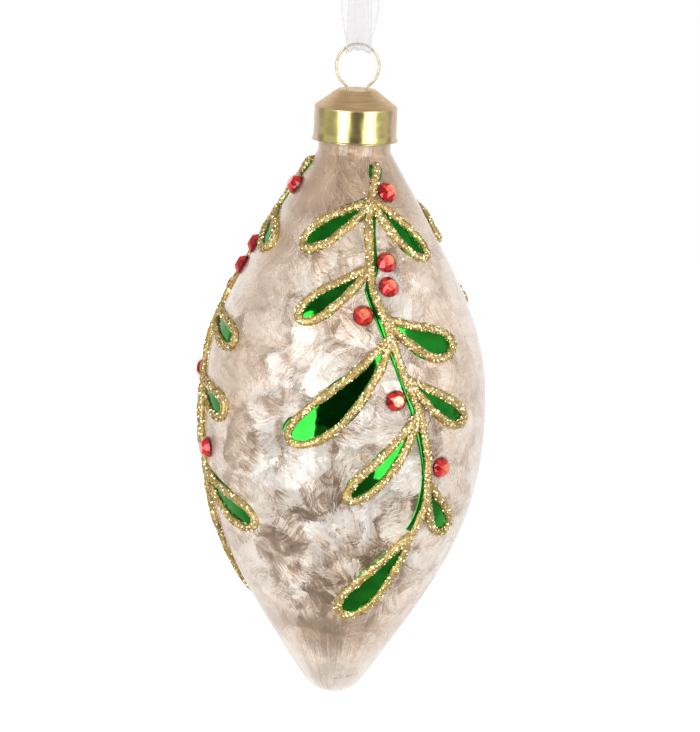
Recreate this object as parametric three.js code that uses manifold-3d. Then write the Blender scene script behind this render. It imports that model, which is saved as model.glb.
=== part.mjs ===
// Glass finial ornament: a blown glass body with a stamped cap, a sprung wire ring and a ribbon loop,
// painted with three leafy sprigs that are outlined in glitter and set with red stones.
// Millimetres, +Z up. The origin is where a hook holds the ribbon loop, and the front faces -Y.
import * as THREE from "three";
import { mergeVertices } from "three/addons/utils/BufferGeometryUtils.js";
import Module from "manifold-3d";

const wasm = await Module();
wasm.setup();

const DEGREE = Math.PI / 180;

// Clearances
const PART_GAP = 0.3; // between pieces that touch on the real ornament
const LEG_CLEARANCE = 0.4; // between the wire legs and the bore of the neck
const HOLE_CLEARANCE = 0.3; // round the wire in the cap's holes
const SWING_CLEARANCE = 0.95; // round the ring's wire inside the ribbon's fold

// Driving dimensions. Heights are measured up from the tip of the glass.
const GLASS = {
  tipRadius: 8.35,
  tipSweep: 56 * DEGREE, // how far the round tip turns before the lower taper starts
  lowerTipPull: 27,
  lowerBellyPull: 24.8,
  bellyRadius: 32.4,
  bellyHeight: 65,
  upperBellyPull: 19.3,
  shoulderPull: 40,
  shoulderLean: 30.8 * DEGREE, // the upper taper, measured from the vertical
  shoulderRadius: 8.75,
  shoulderHeight: 125,
  neckRadius: 8.25,
  neckBlend: 1.6,
  wall: 1,
  sides: 32,
};
const CAP = {
  standOff: 3.4, // from the glass shoulder up to the cap's rim
  bandHeight: 7.6,
  coneHeight: 3.9,
  topRadius: 4.3,
  bandRadius: 9.4,
  rimRadius: 9.8,
  rimHeight: 0.9,
  edge: 0.55, // rounding of the stamped corners
  wall: 0.45,
  sides: 32,
};
const WIRE = {
  radius: 0.3,
  ringHalfWidth: 4.85,
  ringHalfHeight: 5.12,
  holeOffset: 2.15,
  legLength: 24,
  straight: 1.2, // the wire runs straight through the cap for this far each way
  entryBend: 0.12, // radians of the ring left out where it bends into the cap
  legBends: [0.3, 0.75, 1], // share of the legs' spread reached at each third of their length
  steps: 56,
  sides: 6,
};
const RIBBON = {
  width: 8.6,
  foldWidth: 5.4,
  knotWidth: 5,
  thickness: 0.4,
  gatherLength: 9, // how far from the fold, and from the knot, the gathers reach
  stepsBetween: 2, // sections between two points of its route
};
const LOOP_HEIGHT = 57; // from the ring's top wire up to the hook
const KNOT = {
  halfWidth: 3.9,
  halfDepth: 2.7,
  halfHeight: 2.9,
  band: 0.9, // half the thickness of the turn that crosses the lump
  bandSpread: 1.6, // its width, as a share of its thickness
  tailLength: 13,
  tailLean: 28 * DEGREE,
  tailCurl: 1.8, // how far a tail bends forwards or back by its cut end
  tailPart: 0.24, // how far the tails lie apart where they leave the lump
};
const BEAD = {
  width: 1.9,
  height: 1,
  shoulder: 0.6, // width of its rounded top, as a share of its foot
  stemEnd: 0.5, // scale of the stem's two ends
  rootEnd: 0.8, // scale of a leaf's strands where they start inside the stem
  lapEnd: 0.65, // scale of a strand where it ends inside the next one
  seatStep: 0.05, // each strand sits this much higher than the one that it joins
};
const LACQUER = { thickness: 0.45, crown: 0.12, rows: 6, leastHalfWidth: 0.2 };
const STONE = { diameter: 4.8, height: 2, girdle: 0.6, tableDiameter: 2.5, facets: 8 };

// The sprig that is painted three times: azimuth in degrees, and station, the share of the way
// along the glass from its tip (0) to its shoulder (1).
const STEM = [
  [33, 0.995],
  [21.5, 0.949],
  [15.2, 0.909],
  [12.3, 0.845],
  [12.5, 0.791],
  [18.3, 0.722],
  [24.3, 0.646],
  [30.5, 0.588],
  [35, 0.53],
  [37.7, 0.465],
  [36.8, 0.405],
  [31.5, 0.36],
];
const LEAVES = [
  { station: 0.928, side: -1, length: 18.5, droop: 39, width: 5.4, bow: 0.5 },
  { station: 0.932, side: 1, length: 18.1, droop: 53, width: 5, bow: -0.4 },
  { station: 0.815, side: -1, length: 19.5, droop: 40, width: 5.1, bow: 0 },
  { station: 0.729, side: 1, length: 18.7, droop: 23, width: 6.5, bow: -1 },
  { station: 0.701, side: -1, length: 33, droop: 47, width: 7.5, bow: -1.8 },
  { station: 0.634, side: 1, length: 19.8, droop: 32, width: 4.9, bow: -0.5 },
  { station: 0.579, side: -1, length: 25, droop: 51, width: 4.7, bow: -1.4 },
  { station: 0.465, side: 1, length: 15.4, droop: 54, width: 5.1, bow: -0.9 },
  { station: 0.377, side: -1, length: 25.3, droop: 61, width: 7.4, bow: -0.7 },
];
const STONES = [
  { station: 0.942, side: 1, away: 0 },
  { station: 0.824, side: 1, away: 0.3 },
  { station: 0.783, side: 1, away: 0 },
  { station: 0.736, side: -1, away: 0.9 },
  { station: 0.601, side: -1, away: 0.9 },
  { station: 0.488, side: 1, away: 0 },
];
const SPRIGS = [
  { name: "front", turn: 0, changes: {} },
  {
    name: "left",
    turn: -114,
    changes: {
      1: { station: 0.895, length: 15.2, droop: 34, width: 5.5 },
      3: { station: 0.705, length: 20.5, droop: 14, width: 4.8, bow: 0 },
      5: { station: 0.595, length: 17.3, droop: 18, width: 5.4 },
      7: { station: 0.451, length: 21.7, droop: 27, width: 6.2 },
    },
  },
  { name: "right", turn: 130, changes: {} },
];
const LEAF_SWELL = 0.8; // how fast a leaf widens from its base
const LEAF_ROUND = 4; // how blunt its tip is
const LEAF_SAMPLES = 8; // bead sections along each side of a leaf
const STEM_SAMPLES = 24;
const PROFILE_SAMPLES = 8; // glass rings along each of its two long curves
const FINE_SAMPLES = 80; // points along a curve that is only measured

const MATERIALS = {
  frostedGlass: new THREE.MeshStandardMaterial({ color: 0xd3c5b4, roughness: 0.25, metalness: 0.1 }),
  goldCap: new THREE.MeshStandardMaterial({ color: 0xc2ab6e, roughness: 0.25, metalness: 1 }),
  paleWire: new THREE.MeshStandardMaterial({ color: 0xd8cda0, roughness: 0.3, metalness: 1 }),
  sheerRibbon: new THREE.MeshStandardMaterial({ color: 0xf1eff0, roughness: 0.7, metalness: 0 }),
  goldGlitter: new THREE.MeshStandardMaterial({ color: 0xb8963f, roughness: 0.5, metalness: 0.8 }),
  greenLacquer: new THREE.MeshStandardMaterial({ color: 0x0d6b25, roughness: 0.1, metalness: 0.5 }),
  redStone: new THREE.MeshStandardMaterial({ color: 0xc2182a, roughness: 0.1, metalness: 0.2 }),
};

// Closed surfaces

// A geometry from points and triangles, with its faces turned outwards.
function closedGeometry(points, triangles) {
  const volume = triangles.reduce((sum, [a, b, c]) => {
    const cross = new THREE.Vector3().crossVectors(points[b], points[c]);
    return sum + points[a].dot(cross);
  }, 0);
  const faces = volume < 0 ? triangles.map(([a, b, c]) => [a, c, b]) : triangles;
  return new THREE.BufferGeometry().setFromPoints(points).setIndex(faces.flat());
}

// Joins rings with the same number of points, and closes each end by a strip across its ring: the second
// half of a ring runs back beside its first half.
function loft(rings) {
  const count = rings[0].length;
  const last = (rings.length - 1) * count;
  const triangles = [];
  for (let ring = 0; ring < rings.length - 1; ring++) {
    for (let i = 0; i < count; i++) {
      const a = ring * count + i;
      const b = ring * count + ((i + 1) % count);
      triangles.push([a, b, b + count], [a, b + count, a + count]);
    }
  }
  for (let i = 0; i < count / 2 - 1; i++) {
    const j = count - 1 - i;
    triangles.push([i, j, j - 1], [i, j - 1, i + 1]);
    triangles.push([last + i, last + i + 1, last + j - 1], [last + i, last + j - 1, last + j]);
  }
  return closedGeometry(rings.flat(), triangles);
}

function toSolid(geometry) {
  const bare = new THREE.BufferGeometry().setAttribute("position", geometry.getAttribute("position"));
  bare.setIndex(geometry.index);
  const merged = mergeVertices(bare, 1e-4);
  return new wasm.Manifold(
    new wasm.Mesh({
      numProp: 3,
      vertProperties: merged.attributes.position.array,
      triVerts: new Uint32Array(merged.index.array),
    }),
  );
}

function toGeometry(solid) {
  const mesh = solid.getMesh();
  return new THREE.BufferGeometry()
    .setAttribute("position", new THREE.BufferAttribute(mesh.vertProperties, mesh.numProp))
    .setIndex(new THREE.BufferAttribute(mesh.triVerts, 1));
}

const joined = (geometries) => toGeometry(geometries.map(toSolid).reduce((all, next) => all.add(next)));

function named(name, geometry, material) {
  const mesh = new THREE.Mesh(geometry, material);
  mesh.name = name;
  return mesh;
}

// Turns a profile of (radius, height) points about the vertical axis.
const turned = (profile, sides) => new THREE.LatheGeometry(profile, sides).rotateX(Math.PI / 2);

// Glass body

// The outer profile from tip to shoulder: a round tip, a lower taper into the belly, an upper one out of it.
function glassCurves() {
  const { tipRadius, tipSweep, bellyRadius, bellyHeight } = GLASS;
  const { shoulderRadius, shoulderHeight, shoulderLean } = GLASS;
  const bottom = -Math.PI / 2;
  const tip = new THREE.EllipseCurve(0, tipRadius, tipRadius, tipRadius, bottom, bottom + tipSweep);
  const taperStart = tip.getPoint(1);
  const taperWay = new THREE.Vector2(Math.cos(tipSweep), Math.sin(tipSweep));
  const belly = new THREE.Vector2(bellyRadius, bellyHeight);
  const shoulder = new THREE.Vector2(shoulderRadius, shoulderHeight);
  const shoulderWay = new THREE.Vector2(-Math.sin(shoulderLean), Math.cos(shoulderLean));
  const lower = new THREE.CubicBezierCurve(
    taperStart,
    taperStart.clone().addScaledVector(taperWay, GLASS.lowerTipPull),
    new THREE.Vector2(bellyRadius, bellyHeight - GLASS.lowerBellyPull),
    belly,
  );
  const upper = new THREE.CubicBezierCurve(
    belly,
    new THREE.Vector2(bellyRadius, bellyHeight + GLASS.upperBellyPull),
    shoulder.clone().addScaledVector(shoulderWay, -GLASS.shoulderPull),
    shoulder,
  );
  return [tip, lower, upper];
}

const glassLine = glassCurves().flatMap((curve, i) => curve.getPoints(FINE_SAMPLES).slice(i ? 1 : 0));
const glassRun = glassLine.reduce(
  (run, point, i) => [...run, i ? run[i - 1] + point.distanceTo(glassLine[i - 1]) : 0],
  [],
);
const GLASS_RUN = glassRun[glassRun.length - 1];

// The radius, height and outward slope of the glass at a distance along it from the tip.
function glassAt(run) {
  const end = glassRun.findIndex((value) => value >= run);
  const i = end < 0 ? glassRun.length - 1 : Math.max(end, 1);
  const a = glassLine[i - 1];
  const b = glassLine[i];
  const share = (run - glassRun[i - 1]) / (glassRun[i] - glassRun[i - 1]);
  const way = b.clone().sub(a).normalize();
  const point = a.clone().lerp(b, share);
  return { radius: point.x, height: point.y, outward: new THREE.Vector2(way.y, -way.x) };
}

// A point at an azimuth in degrees and a distance along the glass, lifted off its surface.
function onGlass(azimuth, run, lift) {
  const { radius, height, outward } = glassAt(run);
  const reach = radius + outward.x * lift;
  const angle = azimuth * DEGREE;
  return new THREE.Vector3(
    reach * Math.sin(angle),
    -reach * Math.cos(angle),
    height + outward.y * lift,
  );
}

const capRim = GLASS.shoulderHeight + CAP.standOff;
const capShoulder = capRim + CAP.bandHeight;
const capTop = capShoulder + CAP.coneHeight;

// The cap's cone rests on the mouth of the neck.
const coneSlope = CAP.coneHeight / (CAP.bandRadius - CAP.topRadius);
const coneUnderside = capShoulder - CAP.wall * Math.hypot(1, coneSlope);
const neckTop = coneUnderside + (CAP.bandRadius - GLASS.neckRadius) * coneSlope - PART_GAP;

function glassBody() {
  const { neckRadius, neckBlend, shoulderHeight, wall } = GLASS;
  const shoulder = glassLine[glassLine.length - 1];
  const neckStart = new THREE.Vector2(neckRadius, shoulderHeight + neckBlend);
  const blend = new THREE.QuadraticBezierCurve(
    shoulder,
    new THREE.Vector2(neckRadius, shoulderHeight + neckBlend / 2),
    neckStart,
  );
  const outside = [
    ...glassCurves().flatMap((curve, i) => curve.getPoints(i ? PROFILE_SAMPLES : 2).slice(i ? 1 : 0)),
    ...blend.getPoints(2).slice(1),
    new THREE.Vector2(neckRadius, neckTop),
  ];
  const inside = outside.map((point, i) => {
    const before = outside[Math.max(i - 1, 0)];
    const after = outside[Math.min(i + 1, outside.length - 1)];
    const way = after.clone().sub(before).normalize();
    const inner = point.clone().add(new THREE.Vector2(-way.y, way.x).multiplyScalar(wall));
    return new THREE.Vector2(Math.max(inner.x, 0), inner.y);
  });
  inside[0].set(0, wall);
  inside[inside.length - 1].set(neckRadius - wall, neckTop);
  return turned([...outside, ...inside.reverse()], GLASS.sides);
}

// Cap and wire ring

// The cap's section, drawn in by an inset for the inner wall.
function capProfile(inset) {
  const lean = Math.hypot(1, coneSlope);
  const top = capTop - inset;
  const band = CAP.bandRadius - inset;
  const topRadius = CAP.topRadius - (inset * (lean - 1)) / coneSlope;
  const shoulder = top - (band - topRadius) * coneSlope;
  const alongCone = new THREE.Vector2(band - topRadius, shoulder - top).normalize().multiplyScalar(CAP.edge);
  const topEdge = new THREE.QuadraticBezierCurve(
    new THREE.Vector2(topRadius - CAP.edge, top),
    new THREE.Vector2(topRadius, top),
    new THREE.Vector2(topRadius, top).add(alongCone),
  );
  const shoulderEdge = new THREE.QuadraticBezierCurve(
    new THREE.Vector2(band, shoulder).sub(alongCone),
    new THREE.Vector2(band, shoulder),
    new THREE.Vector2(band, shoulder - CAP.edge),
  );
  return [
    new THREE.Vector2(0, top),
    ...topEdge.getPoints(2),
    ...shoulderEdge.getPoints(2),
    new THREE.Vector2(band, capRim + CAP.rimHeight),
    new THREE.Vector2(CAP.rimRadius - inset, capRim),
  ];
}

function metalCap() {
  const outside = capProfile(0).reverse();
  const shell = toSolid(turned([...outside, ...capProfile(CAP.wall), outside[0]], CAP.sides));
  const holeRadius = WIRE.radius + HOLE_CLEARANCE;
  return toGeometry(
    [-1, 1].reduce((cap, side) => {
      const drill = new THREE.CylinderGeometry(holeRadius, holeRadius, 4 * CAP.wall, 12)
        .rotateX(Math.PI / 2)
        .translate(side * WIRE.holeOffset, 0, capTop - CAP.wall / 2);
      return cap.subtract(toSolid(drill));
    }, shell),
  );
}

const entryAngle = Math.acos(WIRE.holeOffset / WIRE.ringHalfWidth);
const ringCentre = capTop + WIRE.straight + WIRE.ringHalfHeight * Math.sin(entryAngle) - WIRE.straight / 2;
const ringTop = ringCentre + WIRE.ringHalfHeight;

// One leg, from the ring down through the cap and spreading into the neck.
function wireLeg() {
  const spread = GLASS.neckRadius - GLASS.wall - WIRE.radius - LEG_CLEARANCE;
  const { holeOffset, straight, legLength, legBends } = WIRE;
  return [
    [holeOffset, capTop + straight / 4],
    [holeOffset, capTop - straight],
    ...legBends.map((share, i) => [
      THREE.MathUtils.lerp(holeOffset, spread, share),
      capTop - ((i + 1) / legBends.length) * legLength,
    ]),
  ];
}

function hangerWire() {
  const arc = new THREE.EllipseCurve(
    0,
    ringCentre,
    WIRE.ringHalfWidth,
    WIRE.ringHalfHeight,
    -entryAngle + WIRE.entryBend,
    Math.PI + entryAngle - WIRE.entryBend,
  );
  const leg = wireLeg();
  const route = [
    ...leg.toReversed(),
    ...arc.getPoints(14).map((point) => [point.x, point.y]),
    ...leg.map(([x, z]) => [-x, z]),
  ];
  const path = new THREE.CatmullRomCurve3(route.map(([x, z]) => new THREE.Vector3(x, 0, z)));
  const section = new THREE.Shape(
    Array.from({ length: WIRE.sides }, (_, i) => {
      const angle = (2 * Math.PI * i) / WIRE.sides;
      return new THREE.Vector2(WIRE.radius * Math.cos(angle), WIRE.radius * Math.sin(angle));
    }),
  );
  return new THREE.ExtrudeGeometry(section, {
    steps: WIRE.steps,
    bevelEnabled: false,
    extrudePath: path,
  });
}

// Ribbon loop. One leg's route, as depth and height over the ring's top wire.
const foldRadius = WIRE.radius + SWING_CLEARANCE + RIBBON.thickness / 2;
const RIBBON_LEG = [
  [1.5, 2.5],
  [2.2, 8],
  [3.4, 17],
  [4.5, 28],
  [5, 38],
  [4.8, 46],
  [3.6, 52],
  [0.7, 58.2],
];

function ribbonRoute() {
  const fold = [60, 30, 0, -30, -60].map((angle) => [
    foldRadius * Math.sin(angle * DEGREE),
    -foldRadius * Math.cos(angle * DEGREE),
  ]);
  return [
    ...RIBBON_LEG.toReversed(),
    ...fold,
    ...RIBBON_LEG.map(([depth, height]) => [-depth, height]),
  ].map(([depth, height]) => new THREE.Vector3(0, depth, ringTop + height));
}

// The ribbon is gathered at its fold and at its knot, and under the wire it follows the ring's arch.
function ribbonLoop() {
  const path = new THREE.CatmullRomCurve3(ribbonRoute());
  const knotHeight = RIBBON_LEG.at(-1)[1];
  const smooth = (value) => THREE.MathUtils.smoothstep(value, 0, RIBBON.gatherLength);
  const steps = RIBBON.stepsBetween * (path.points.length - 1);
  const rings = path.getPoints(steps).map((point, i) => {
    const height = point.z - ringTop;
    const open = smooth(height);
    const shut = smooth(knotHeight - height);
    const low = THREE.MathUtils.lerp(RIBBON.foldWidth, RIBBON.width, open);
    const half = THREE.MathUtils.lerp(RIBBON.knotWidth, low, shut) / 2;
    const tangent = path.getTangent(i / steps);
    const normal = new THREE.Vector3(0, -tangent.z, tangent.y).multiplyScalar(RIBBON.thickness / 2);
    const arch = (x) =>
      (1 - open) * WIRE.ringHalfHeight * (1 - Math.sqrt(Math.max(0, 1 - (x / WIRE.ringHalfWidth) ** 2)));
    const across = [-half, -half / 3, half / 3, half];
    const corner = (x, way) =>
      point.clone().addScaledVector(normal, way).add(new THREE.Vector3(x, 0, -arch(x)));
    return [...across.map((x) => corner(x, 1)), ...across.toReversed().map((x) => corner(x, -1))];
  });
  return loft(rings);
}

// An overhand knot: a pulled-tight lump, the turn that crosses it, and the ribbon's two cut tails.
function ribbonKnot() {
  const { halfWidth, halfDepth, halfHeight, band, bandSpread } = KNOT;
  const { tailLength, tailLean, tailCurl, tailPart } = KNOT;
  const base = ringTop + RIBBON_LEG.at(-1)[1] + PART_GAP;
  const lump = new THREE.SphereGeometry(1, 12, 7).scale(halfWidth, halfDepth, halfHeight);
  const turn = new THREE.TorusGeometry(1, band / halfHeight, 5, 14)
    .rotateY(Math.PI / 2)
    .scale(bandSpread * band, halfDepth - band / 2, halfHeight - band / 2)
    .rotateY(tailLean);
  const tails = [-1, 1].map((side) => {
    const stations = [0, 0.35, 0.7, 1];
    const rings = stations.map((share) => {
      const half = THREE.MathUtils.lerp(RIBBON.foldWidth, RIBBON.width, share) / 2;
      const thick = RIBBON.thickness / 2;
      const depth = side * (tailPart + tailCurl * share * share);
      const z = halfHeight / 2 + share * tailLength;
      return [
        [-half, -thick],
        [half, -thick],
        [half, thick],
        [-half, thick],
      ].map(([x, y]) => new THREE.Vector3(x, y + depth, z));
    });
    return loft(rings).rotateY(side * tailLean);
  });
  return joined([lump, turn, ...tails]).translate(0, 0, base + halfHeight);
}

// Painted sprigs

const stemCurve = new THREE.SplineCurve(STEM.map((place) => new THREE.Vector2(...place)));
const stemLine = stemCurve.getPoints(240);

function stemAzimuth(station) {
  const i = stemLine.findIndex((point) => point.y <= station);
  const after = stemLine[Math.max(i, 1)];
  const before = stemLine[Math.max(i, 1) - 1];
  return THREE.MathUtils.mapLinear(station, before.y, after.y, before.x, after.x);
}

// A leaf in its own plane: x runs from its base to its tip, y is half its width there.
function leafEdge(leaf, u) {
  const x = Math.sin((u * Math.PI) / 2);
  const peak = (LEAF_SWELL / (LEAF_SWELL + LEAF_ROUND / 2)) ** (1 / LEAF_ROUND);
  const shape = (t) => t ** LEAF_SWELL * Math.sqrt(Math.max(0, 1 - t ** LEAF_ROUND));
  const half = ((leaf.width / 2) * shape(x)) / shape(peak);
  return new THREE.Vector2(x * leaf.length, u > 1 ? -half : half);
}

// Carries a point of the leaf's plane onto the glass, as azimuth and distance along the glass.
function leafOnGlass(leaf, point, turn) {
  const droop = leaf.droop * DEGREE;
  const steps = 24;
  const stretch = point.x / steps;
  const share = point.x / leaf.length;
  const aside = point.y + 4 * leaf.bow * share * (1 - share);
  let run = leaf.station * GLASS_RUN;
  let azimuth = turn + stemAzimuth(leaf.station);
  for (let i = 0; i < steps; i++) {
    run -= (stretch / 2) * Math.sin(droop);
    azimuth += (leaf.side * stretch * Math.cos(droop)) / glassAt(run).radius / DEGREE;
    run -= (stretch / 2) * Math.sin(droop);
  }
  const across = (leaf.side * aside * Math.sin(droop)) / glassAt(run).radius / DEGREE;
  return { azimuth: azimuth + across, run: run + aside * Math.cos(droop) };
}

// A raised bead of glitter laid on the glass along a route, as one ring of points for each place.
// sizes scales the rings that aren't full size, and seat is how far the bead's foot is lifted.
function beadRings(route, sizes, seat) {
  const foot = BEAD.width / 2;
  const top = foot * BEAD.shoulder;
  const section = [
    [-foot, 0],
    [foot, 0],
    [top, BEAD.height],
    [-top, BEAD.height],
  ];
  return route.map((place, i) => {
    const before = route[Math.max(i - 1, 0)];
    const after = route[Math.min(i + 1, route.length - 1)];
    const { radius } = glassAt(place.run);
    const around = (after.azimuth - before.azimuth) * DEGREE * radius;
    const along = after.run - before.run;
    const size = (sizes[i] ?? 1) / Math.hypot(around, along);
    return section.map(([aside, lift]) => {
      const azimuth = place.azimuth - (aside * size * along) / radius / DEGREE;
      const run = place.run + aside * size * around;
      return onGlass(azimuth, run, PART_GAP + seat + lift * (sizes[i] ?? 1));
    });
  });
}

// The glitter line round a leaf: one strand out to its tip and one home, lapped where they meet.
function leafBeads(leaf, turn) {
  const tip = LEAF_SAMPLES;
  const places = Array.from({ length: 2 * tip + 1 }, (_, i) => leafEdge(leaf, i / tip));
  const route = places.map((point) => leafOnGlass(leaf, point, turn));
  const { rootEnd, lapEnd, seatStep } = BEAD;
  const outSizes = { 0: rootEnd, [tip]: (1 + rootEnd) / 2, [tip + 1]: lapEnd };
  const homeSizes = { [tip - 1]: lapEnd, [2 * tip]: rootEnd };
  return [
    loft(beadRings(route, outSizes, seatStep).slice(0, tip + 2)),
    loft(beadRings(route, homeSizes, 2 * seatStep).slice(tip - 1)),
  ];
}

function stemBead(turn) {
  const route = stemCurve.getSpacedPoints(STEM_SAMPLES).map((point) => ({
    azimuth: turn + point.x,
    run: point.y * GLASS_RUN,
  }));
  return loft(beadRings(route, { 0: BEAD.stemEnd, [STEM_SAMPLES]: BEAD.stemEnd }, 0));
}

// The lacquer inside a leaf's glitter line: the leaf's edge moved in, less where it would cross itself.
function leafLacquer(leaf, turn) {
  const inset = BEAD.width / 2 + PART_GAP;
  const edge = Array.from({ length: FINE_SAMPLES + 1 }, (_, i) => leafEdge(leaf, i / FINE_SAMPLES));
  const kept = edge
    .slice(1, -1)
    .map((point, i) => {
      const way = edge[i + 2].clone().sub(edge[i]).normalize();
      return new THREE.Vector2(point.x + way.y * inset, point.y - way.x * inset);
    })
    .filter((point) => point.y > LACQUER.leastHalfWidth)
    .filter((point) => edge.every((other) => other.distanceTo(point) > inset - 0.02));
  const rings = Array.from({ length: LACQUER.rows }, (_, i) => {
    const { x, y } = kept[Math.round((i / (LACQUER.rows - 1)) * (kept.length - 1))];
    const { thickness, crown } = LACQUER;
    const lifts = [0, 0, 0, thickness, thickness + crown, thickness];
    return [-y, 0, y, y, 0, -y].map((aside, j) => {
      const { azimuth, run } = leafOnGlass(leaf, new THREE.Vector2(x, aside), turn);
      return onGlass(azimuth, run, PART_GAP + lifts[j]);
    });
  });
  return loft(rings);
}

// A flat-backed stone: a round girdle that is cut in facets up to an eight-sided table.
function stoneGeometry() {
  const { diameter, height, girdle, tableDiameter, facets } = STONE;
  const ring = (radius, count, z) =>
    Array.from({ length: count }, (_, i) => {
      const angle = (2 * Math.PI * i) / count;
      return new THREE.Vector3(radius * Math.cos(angle), radius * Math.sin(angle), z);
    });
  const around = 2 * facets;
  const points = [
    ...ring(diameter / 2, around, 0),
    ...ring(diameter / 2, around, girdle),
    ...ring(tableDiameter / 2, facets, height),
  ];
  const triangles = [];
  for (let i = 0; i < around; i++) {
    const next = (i + 1) % around;
    triangles.push([i, next, around + next], [i, around + next, around + i]);
  }
  for (let i = 0; i < facets; i++) {
    const low = around + 2 * i;
    const after = around + ((2 * i + 2) % around);
    const table = 2 * around + i;
    const nextTable = 2 * around + ((i + 1) % facets);
    triangles.push([low, low + 1, table], [low + 1, nextTable, table], [low + 1, after, nextTable]);
  }
  for (let i = 1; i < around - 1; i++) triangles.push([0, i + 1, i]);
  for (let i = 1; i < facets - 1; i++) {
    triangles.push([2 * around, 2 * around + i, 2 * around + i + 1]);
  }
  return closedGeometry(points, triangles);
}

// Sets a stone flat on the glass beside the stem, clear of its glitter line.
function placeStone(mesh, stone, turn) {
  const run = stone.station * GLASS_RUN;
  const reach = stone.side * (BEAD.width / 2 + STONE.diameter / 2 + PART_GAP + stone.away);
  const azimuth = turn + stemAzimuth(stone.station) + reach / glassAt(run).radius / DEGREE;
  const foot = onGlass(azimuth, run, PART_GAP);
  const outward = onGlass(azimuth, run, PART_GAP + 1).sub(foot);
  mesh.position.copy(foot);
  mesh.quaternion.setFromUnitVectors(new THREE.Vector3(0, 0, 1), outward.normalize());
  return mesh;
}

function sprig({ name, turn, changes }) {
  const group = new THREE.Group();
  const leaves = LEAVES.map((leaf, i) => ({ ...leaf, ...changes[i] }));
  const beads = [stemBead(turn), ...leaves.flatMap((leaf) => leafBeads(leaf, turn))];
  group.add(named(`${name}_glitter_outline`, joined(beads), MATERIALS.goldGlitter));
  leaves.forEach((leaf, i) => {
    group.add(named(`${name}_leaf_${i + 1}`, leafLacquer(leaf, turn), MATERIALS.greenLacquer));
  });
  STONES.forEach((stone, i) => {
    const mesh = named(`${name}_stone_${i + 1}`, stoneGeometry(), MATERIALS.redStone);
    group.add(placeStone(mesh, stone, turn));
  });
  return group;
}

// Assembly
const ornament = new THREE.Group();
ornament.position.z = -(ringTop + LOOP_HEIGHT);
ornament.add(
  named("glass_body", glassBody(), MATERIALS.frostedGlass),
  named("metal_cap", metalCap(), MATERIALS.goldCap),
  named("hanger_wire", hangerWire(), MATERIALS.paleWire),
  named("ribbon_loop", ribbonLoop(), MATERIALS.sheerRibbon),
  named("ribbon_knot", ribbonKnot(), MATERIALS.sheerRibbon),
  ...SPRIGS.map(sprig),
);

const root = new THREE.Group();
root.add(ornament);

export default root;
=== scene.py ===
"""A glass finial ornament: frosted glass, three painted sprigs, a gold cap, a wire ring and a sheer ribbon.

Shapes are worked out in millimetres over the tip of the glass, with the front at -Y, as the solids are built,
and put_in_frame() takes them to the frame's metres. Azimuths are in degrees from the front, positive to the
right.
"""

import math
from collections import namedtuple
from types import SimpleNamespace as Sizes

import bpy
import numpy as np
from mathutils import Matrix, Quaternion, Vector


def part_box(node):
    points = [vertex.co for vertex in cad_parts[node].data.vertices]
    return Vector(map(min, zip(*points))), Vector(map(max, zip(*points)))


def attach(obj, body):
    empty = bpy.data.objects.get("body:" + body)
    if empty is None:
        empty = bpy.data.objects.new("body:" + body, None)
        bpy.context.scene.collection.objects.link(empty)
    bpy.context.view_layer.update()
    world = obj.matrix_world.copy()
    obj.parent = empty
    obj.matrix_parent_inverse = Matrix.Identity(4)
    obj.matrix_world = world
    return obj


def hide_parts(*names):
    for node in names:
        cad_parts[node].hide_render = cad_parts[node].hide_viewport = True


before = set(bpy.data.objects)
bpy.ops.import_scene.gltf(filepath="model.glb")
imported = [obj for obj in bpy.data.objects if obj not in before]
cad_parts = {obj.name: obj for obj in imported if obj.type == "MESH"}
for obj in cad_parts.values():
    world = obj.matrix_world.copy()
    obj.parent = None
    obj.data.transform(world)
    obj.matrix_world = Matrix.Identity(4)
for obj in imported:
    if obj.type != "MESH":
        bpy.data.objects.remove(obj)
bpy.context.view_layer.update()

MM = 0.001
DEGREE = math.pi / 180

# Driving sizes, as the solids have them: lengths in millimetres, angles in degrees, and shares
GLASS = Sizes(
    tip_radius=8.35, tip_sweep=56, lower_tip_pull=27, lower_belly_pull=24.8, belly_radius=32.4,
    belly_height=65, upper_belly_pull=19.3, shoulder_pull=40, shoulder_lean=30.8, shoulder_radius=8.75,
    shoulder_height=125, neck_radius=8.25, neck_blend=1.6, neck_pulls=(0.5, 0.3, 0),
    neck_clearance=0.3, wall=1,
)
CAP = Sizes(
    stand_off=3.4, band_height=7.6, cone_height=3.9, top_radius=4.3, band_radius=9.4, rim_radius=9.8,
    rim_height=0.9, flare_out=0.1, flare_up=0.4, edge=0.55, wall=0.45,
)
WIRE = Sizes(
    radius=0.3, half_width=4.85, half_height=5.12, hole_offset=2.15, leg_length=24, straight=1.2,
    entry_bend=0.12, leg_bends=(0.3, 0.75, 1), leg_clearance=0.4,
)
RIBBON = Sizes(
    width=8.6, fold_width=5.6, knot_width=5, thickness=0.16, gather=9, fold_radius=1.35, gathered=0.62,
    pleat=0.04, gathered_pleat=0.08, half_pleats=3, thread_pitch=0.28, edge=0.5, edge_fade=0.2,
)
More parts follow.
